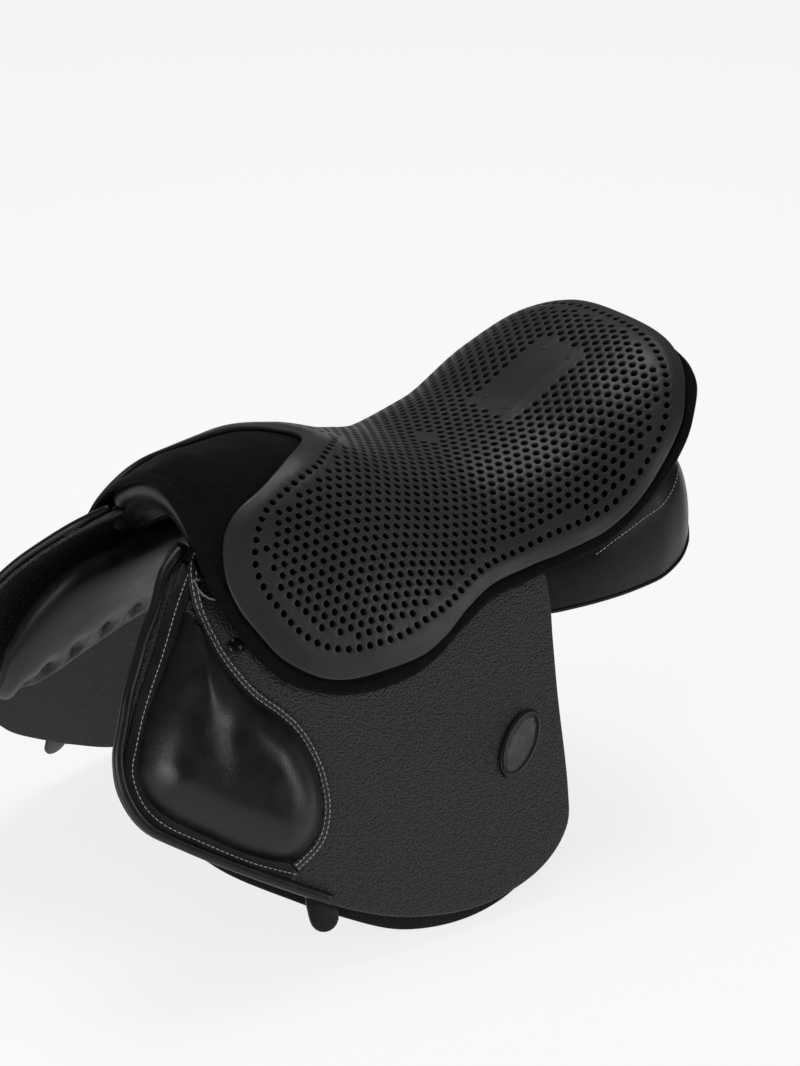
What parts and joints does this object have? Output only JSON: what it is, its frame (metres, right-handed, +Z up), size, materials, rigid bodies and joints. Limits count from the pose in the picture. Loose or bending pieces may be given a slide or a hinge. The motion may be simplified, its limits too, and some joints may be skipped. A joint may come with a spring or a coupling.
{
  "type": "english saddle",
  "caption": "Black English jumping saddle with a perforated gel seat saver, knee rolls, folding flaps, girth straps and stirrup bars.",
  "frame": {"origin": "on the midline under the lowest point of the seat, at the height where the panels bear on the horse's back", "axes": "+Z up, -Y towards the pommel and the horse's head, +X towards the horse's left side"},
  "size_m": [0.4422, 0.6132, 0.3807],
  "materials": {
    "gel": "satin, moulded with rows of round holes",
    "cover_fabric": "fine black knit, matt",
    "smooth_leather": "smooth calf leather, semi-gloss",
    "grained_leather": "pebble-grained leather, satin",
    "panel_leather": "soft smooth leather, satin",
    "foam": "open foam, hidden",
    "laminated_wood": "laminated beech, hidden",
    "plate_steel": "plain steel, hidden",
    "bright_steel": "polished stainless steel",
    "webbing": "linen webbing, hidden"
  },
  "bodies": {
    "saddle": {"tree_frame": "laminated_wood", "head_plate": "plate_steel", "gullet_plate": "plate_steel", "cantle_plate": "plate_steel", "web_cross": "webbing", "seat_foam": "foam", "seat_leather": "smooth_leather", "pommel_facing": "smooth_leather", "tree_point_left": "laminated_wood", "tree_point_right": "laminated_wood", "spring_steel_left": "plate_steel", "spring_steel_right": "plate_steel", "web_long_left": "webbing", "web_long_right": "webbing", "stirrup_bar_left": "bright_steel", "stirrup_bar_right": "bright_steel", "skirt_left": "grained_leather", "skirt_right": "grained_leather", "flap_top_left": "grained_leather", "flap_top_right": "grained_leather", "knee_roll_top_left": "smooth_leather", "knee_roll_top_right": "smooth_leather", "sweat_flap_left": "grained_leather", "sweat_flap_right": "grained_leather", "girth_web_left": "webbing", "girth_web_right": "webbing", "panel_left": "panel_leather", "panel_right": "panel_leather", "point_pocket_left": "panel_leather", "point_pocket_right": "panel_leather", "dee_chape_left": "smooth_leather", "dee_chape_right": "smooth_leather", "saddle_nail_left": "bright_steel", "saddle_nail_right": "bright_steel"},
    "saver": {"saver_gel": "gel", "saver_cover": "cover_fabric"},
    "flap_left": {"flap_left": "grained_leather", "knee_roll_left": "smooth_leather", "flap_keeper_left": "smooth_leather"},
    "catch_left": {"bar_catch_left": "bright_steel"},
    "dee_left": {"dee_left": "bright_steel"},
    "strap_front_left": {"girth_strap_front_left": "smooth_leather"},
    "strap_middle_left": {"girth_strap_middle_left": "smooth_leather"},
    "strap_rear_left": {"girth_strap_rear_left": "smooth_leather"},
    "flap_right": {"flap_right": "grained_leather", "knee_roll_right": "smooth_leather", "flap_keeper_right": "smooth_leather"},
    "catch_right": {"bar_catch_right": "bright_steel"},
    "dee_right": {"dee_right": "bright_steel"},
    "strap_front_right": {"girth_strap_front_right": "smooth_leather"},
    "strap_middle_right": {"girth_strap_middle_right": "smooth_leather"},
    "strap_rear_right": {"girth_strap_rear_right": "smooth_leather"}
  },
  "joints": [
    {"name": "saver_lift_off", "type": "slide", "parent": "saddle", "child": "saver", "axis": [0, 0, 1], "range_m": [0, 0.2]},
    {"name": "flap_fold_left", "type": "hinge", "parent": "saddle", "child": "flap_left", "pos_m": [0.14261, -0.18, -0.008], "axis": [-0.0844, -0.9964, 0], "range_deg": [0, 60]},
    {"name": "catch_turn_left", "type": "hinge", "parent": "saddle", "child": "catch_left", "pos_m": [0.10075, -0.10699, 0.09385], "axis": [0.78, -0.0253, 0.6253], "range_deg": [0, 60]},
    {"name": "dee_swing_left", "type": "hinge", "parent": "saddle", "child": "dee_left", "pos_m": [0.07553, -0.26637, 0.09653], "axis": [0.1734, 0.9849, 0], "range_deg": [-5, 0]},
    {"name": "strap_swing_front_left", "type": "hinge", "parent": "saddle", "child": "strap_front_left", "pos_m": [0.12061, -0.24264, 0.02467], "axis": [0.9165, -0.1515, 0.3703], "range_deg": [-6, 6]},
    {"name": "strap_swing_middle_left", "type": "hinge", "parent": "saddle", "child": "strap_middle_left", "pos_m": [0.12739, -0.1894, 0.02464], "axis": [0.9251, -0.0666, 0.3738], "range_deg": [-6, 6]},
    {"name": "strap_swing_rear_left", "type": "hinge", "parent": "saddle", "child": "strap_rear_left", "pos_m": [0.12925, -0.13588, 0.02463], "axis": [0.9271, -0.0134, 0.3746], "range_deg": [-6, 6]},
    {"name": "flap_fold_right", "type": "hinge", "parent": "saddle", "child": "flap_right", "pos_m": [-0.14261, -0.18, -0.008], "axis": [-0.0844, 0.9964, 0], "range_deg": [0, 60]},
    {"name": "catch_turn_right", "type": "hinge", "parent": "saddle", "child": "catch_right", "pos_m": [-0.10075, -0.10699, 0.09385], "axis": [-0.78, -0.0253, 0.6253], "range_deg": [-60, 0]},
    {"name": "dee_swing_right", "type": "hinge", "parent": "saddle", "child": "dee_right", "pos_m": [-0.07553, -0.26637, 0.09653], "axis": [-0.1734, 0.9849, 0], "range_deg": [0, 5]},
    {"name": "strap_swing_front_right", "type": "hinge", "parent": "saddle", "child": "strap_front_right", "pos_m": [-0.12061, -0.24264, 0.02467], "axis": [-0.9165, -0.1515, 0.3703], "range_deg": [-6, 6]},
    {"name": "strap_swing_middle_right", "type": "hinge", "parent": "saddle", "child": "strap_middle_right", "pos_m": [-0.12739, -0.1894, 0.02464], "axis": [-0.9251, -0.0666, 0.3738], "range_deg": [-6, 6]},
    {"name": "strap_swing_rear_right", "type": "hinge", "parent": "saddle", "child": "strap_rear_right", "pos_m": [-0.12925, -0.13588, 0.02463], "axis": [-0.9271, -0.0134, 0.3746], "range_deg": [-6, 6]}
  ]
}
